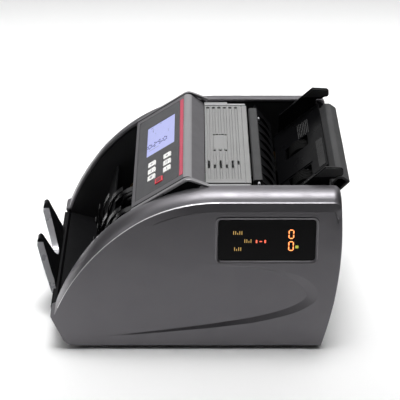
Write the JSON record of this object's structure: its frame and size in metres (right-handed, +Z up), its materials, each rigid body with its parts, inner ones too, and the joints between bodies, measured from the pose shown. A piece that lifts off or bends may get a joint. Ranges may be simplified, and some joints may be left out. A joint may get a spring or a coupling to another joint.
{
  "type": "banknote counting machine",
  "caption": "Desktop banknote counter: dark grey casing, rear hopper with sliding guides, sloping display with keys, front stacker with impeller wheels.",
  "frame": {"origin": "centre of the bounding box, on the surface that the feet stand on", "axes": "+Z up; +Y towards the back, where the hopper is, the way the operator faces; +X to the operator's right, the side with the lit window"},
  "size_m": [0.246, 0.3066, 0.186],
  "materials": {
    "casing_grey": "satin metallic-look dark grey moulded plastic",
    "black_plastic": "fine matt texture",
    "dark_plastic": "satin charcoal plastic",
    "vent_grey": "satin light grey plastic",
    "trim_grey": "satin silver-grey trim",
    "stripe_red": "glossy red",
    "lcd_glow": "lit lavender-blue LCD",
    "key_white": "semi-gloss white",
    "key_red": "semi-gloss red",
    "window_black": "glossy smoked black",
    "black_steel": "black coated sheet steel",
    "bright_steel": "ground steel",
    "rubber": "matt rubber",
    "bronze": "sintered bronze",
    "board_green": "solder-masked board",
    "iron": "laminated core",
    "lamp_glass": "violet glass tube"
  },
  "bodies": {
    "chassis": {"base_tray": "black_plastic", "case_screws": "bright_steel", "cross_ties": "bright_steel", "display_bezel": "dark_plastic", "display_board": "board_green", "display_housing": "trim_grey", "display_stripe": "stripe_red", "display_trim_left": "trim_grey", "display_trim_right": "trim_grey", "drive_motor": "iron", "feed_belt": "rubber", "front_lower_cover": "dark_plastic", "hopper_front_wall": "dark_plastic", "hopper_plate": "black_plastic", "lcd_lens": "lcd_glow", "lower_chute": "black_plastic", "main_board": "board_green", "mains_inlet": "black_plastic", "power_transformer": "iron", "rear_beam": "dark_plastic", "rear_cover": "dark_plastic", "retard_bracket": "black_steel", "retard_roller": "rubber", "rubber_feet": "rubber", "sensor_board": "board_green", "shaft_bearings": "bronze", "side_cover_left": "casing_grey", "side_cover_right": "casing_grey", "side_display_board": "board_green", "side_display_window": "window_black", "side_frame_left": "black_steel", "side_frame_right": "black_steel", "stacker_belt": "rubber", "stacker_floor": "black_plastic", "stacker_plate": "trim_grey", "upper_chute": "black_plastic", "uv_lamp": "lamp_glass", "vent_cover": "vent_grey"},
    "hopper_guide_right": {"hopper_guide_right": "black_plastic"},
    "hopper_guide_left": {"hopper_guide_left": "black_plastic"},
    "power_rocker": {"power_rocker": "black_plastic"},
    "gap_screw": {"gap_screw": "bright_steel"},
    "feed_rotor": {"feed_shaft": "bright_steel", "feed_rollers": "rubber", "feed_pulley": "black_plastic"},
    "pickup_rotor": {"pickup_shaft": "bright_steel", "pickup_rollers": "rubber", "pickup_pulley": "black_plastic"},
    "stacker_rotor": {"stacker_shaft": "bright_steel", "stacker_wheel_right": "black_plastic", "stacker_wheel_left": "black_plastic", "stacker_pulley": "black_plastic"},
    "motor_rotor": {"motor_pulley": "bright_steel"},
    "key_front_1": {"key_front_1": "key_white"},
    "key_front_2": {"key_front_2": "key_white"},
    "key_front_3": {"key_front_3": "key_white"},
    "key_rear_1": {"key_rear_1": "key_white"},
    "key_rear_2": {"key_rear_2": "key_white"},
    "key_rear_3": {"key_rear_3": "key_white"},
    "key_reset": {"key_reset": "key_red"}
  },
  "joints": [
    {"name": "key_front_1_press", "type": "slide", "parent": "chassis", "child": "key_front_1", "axis": [0, 0.5476, -0.8368], "range_m": [0, 0.001], "stiffness_N_per_m": 500, "springref_m": -0.001},
    {"name": "key_front_2_press", "type": "slide", "parent": "chassis", "child": "key_front_2", "axis": [0, 0.5476, -0.8368], "range_m": [0, 0.001], "stiffness_N_per_m": 500, "springref_m": -0.001},
    {"name": "key_front_3_press", "type": "slide", "parent": "chassis", "child": "key_front_3", "axis": [0, 0.5476, -0.8368], "range_m": [0, 0.001], "stiffness_N_per_m": 500, "springref_m": -0.001},
    {"name": "key_rear_1_press", "type": "slide", "parent": "chassis", "child": "key_rear_1", "axis": [0, 0.5476, -0.8368], "range_m": [0, 0.001], "stiffness_N_per_m": 500, "springref_m": -0.001},
    {"name": "key_rear_2_press", "type": "slide", "parent": "chassis", "child": "key_rear_2", "axis": [0, 0.5476, -0.8368], "range_m": [0, 0.001], "stiffness_N_per_m": 500, "springref_m": -0.001},
    {"name": "key_rear_3_press", "type": "slide", "parent": "chassis", "child": "key_rear_3", "axis": [0, 0.5476, -0.8368], "range_m": [0, 0.001], "stiffness_N_per_m": 500, "springref_m": -0.001},
    {"name": "key_reset_press", "type": "slide", "parent": "chassis", "child": "key_reset", "axis": [0, 0.5476, -0.8368], "range_m": [0, 0.001], "stiffness_N_per_m": 500, "springref_m": -0.001},
    {"name": "guide_right_slide", "type": "slide", "parent": "chassis", "child": "hopper_guide_right", "axis": [-1, 0, 0], "range_m": [0, 0.036]},
    {"name": "guide_left_slide", "type": "slide", "parent": "chassis", "child": "hopper_guide_left", "axis": [1, 0, 0], "range_m": [0, 0.036]},
    {"name": "rocker_tilt", "type": "hinge", "parent": "chassis", "child": "power_rocker", "pos_m": [-0.0366, 0.131, 0.039], "axis": [1, 0, 0], "range_deg": [-12, 0]},
    {"name": "gap_screw_turn", "type": "hinge", "parent": "chassis", "child": "gap_screw", "pos_m": [0, 0.046, 0.145], "axis": [0, 0, 1], "range_deg": [-360, 360]},
    {"name": "feed_spin", "type": "hinge", "parent": "chassis", "child": "feed_rotor", "pos_m": [0, 0.093, 0.1007], "axis": [1, 0, 0], "continuous": true},
    {"name": "pickup_spin", "type": "hinge", "parent": "chassis", "child": "pickup_rotor", "pos_m": [0, 0.1163, 0.1353], "axis": [1, 0, 0], "continuous": true},
    {"name": "stacker_spin", "type": "hinge", "parent": "chassis", "child": "stacker_rotor", "pos_m": [0, -0.057, 0.064], "axis": [1, 0, 0], "continuous": true},
    {"name": "motor_spin", "type": "hinge", "parent": "chassis", "child": "motor_rotor", "pos_m": [0, 0.022, 0.042], "axis": [1, 0, 0], "continuous": true}
  ],
  "couplings": [
    {"joint": "pickup_spin", "follows": "feed_spin", "ratio": 1.6},
    {"joint": "stacker_spin", "follows": "feed_spin", "ratio": 1.1429},
    {"joint": "motor_spin", "follows": "feed_spin", "ratio": 2}
  ]
}
